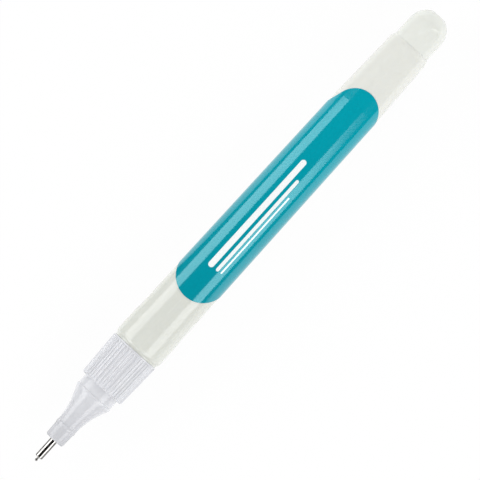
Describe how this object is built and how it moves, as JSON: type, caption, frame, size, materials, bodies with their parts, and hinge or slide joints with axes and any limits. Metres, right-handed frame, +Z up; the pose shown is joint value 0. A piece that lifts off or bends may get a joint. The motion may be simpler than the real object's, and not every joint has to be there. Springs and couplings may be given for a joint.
{
  "type": "correction pen",
  "caption": "Slim squeeze correction pen: tapered milky barrel with teal label, stepped tail plug, ribbed screw-on nozzle and a steel tip with a sprung valve pin.",
  "frame": {"origin": "on the surface that the pen lies on, under the middle of its length", "axes": "+X along the pen from the writing tip to the tail, +Z up through the label, +Y across"},
  "size_m": [0.1322, 0.0122, 0.0123],
  "materials": {
    "barrel_polyethylene": "milky, slightly translucent moulded polyethylene, softly glossy, white fluid inside",
    "plug_polyethylene": "opaque milky moulded polyethylene, softly glossy",
    "label_film": "teal printed film, glossy",
    "nozzle_polypropylene": "frosted translucent polypropylene, cool grey",
    "tip_steel": "drawn stainless steel",
    "pin_steel": "ground stainless steel",
    "valve_plastic": "natural white acetal",
    "spring_steel": "drawn stainless spring wire",
    "seal_rubber": "pale soft elastomer",
    "ball_steel": "polished bearing steel"
  },
  "bodies": {
    "barrel": {"barrel": "barrel_polyethylene", "tail_plug": "plug_polyethylene", "label": "label_film"},
    "washer": {"seal_washer": "seal_rubber"},
    "nozzle": {"nozzle": "nozzle_polypropylene", "needle_tube": "tip_steel", "spring_retainer": "valve_plastic", "valve_spring": "spring_steel"},
    "valve": {"valve_pin": "pin_steel", "pin_carrier": "valve_plastic"},
    "ball": {"mixing_ball": "ball_steel"}
  },
  "joints": [
    {"name": "nozzle_travel", "type": "slide", "parent": "barrel", "child": "washer", "axis": [-1, 0, 0], "range_m": [0, 0.0045]},
    {"name": "nozzle_unscrew", "type": "hinge", "parent": "washer", "child": "nozzle", "pos_m": [-0.04, 0, 0.00614], "axis": [-1, 0, 0], "range_deg": [-1, 901]},
    {"name": "valve_press", "type": "slide", "parent": "nozzle", "child": "valve", "axis": [1, 0, 0], "range_m": [0, 0.0008], "stiffness_N_per_m": 500, "springref_m": -0.002, "deforming": ["valve_spring"]},
    {"name": "ball_roll", "type": "slide", "parent": "barrel", "child": "ball", "axis": [1, 0, 0.0089], "range_m": [0, 0.078]}
  ],
  "couplings": [
    {"joint": "nozzle_unscrew", "follows": "nozzle_travel", "rad_per_m": 3490.7}
  ]
}
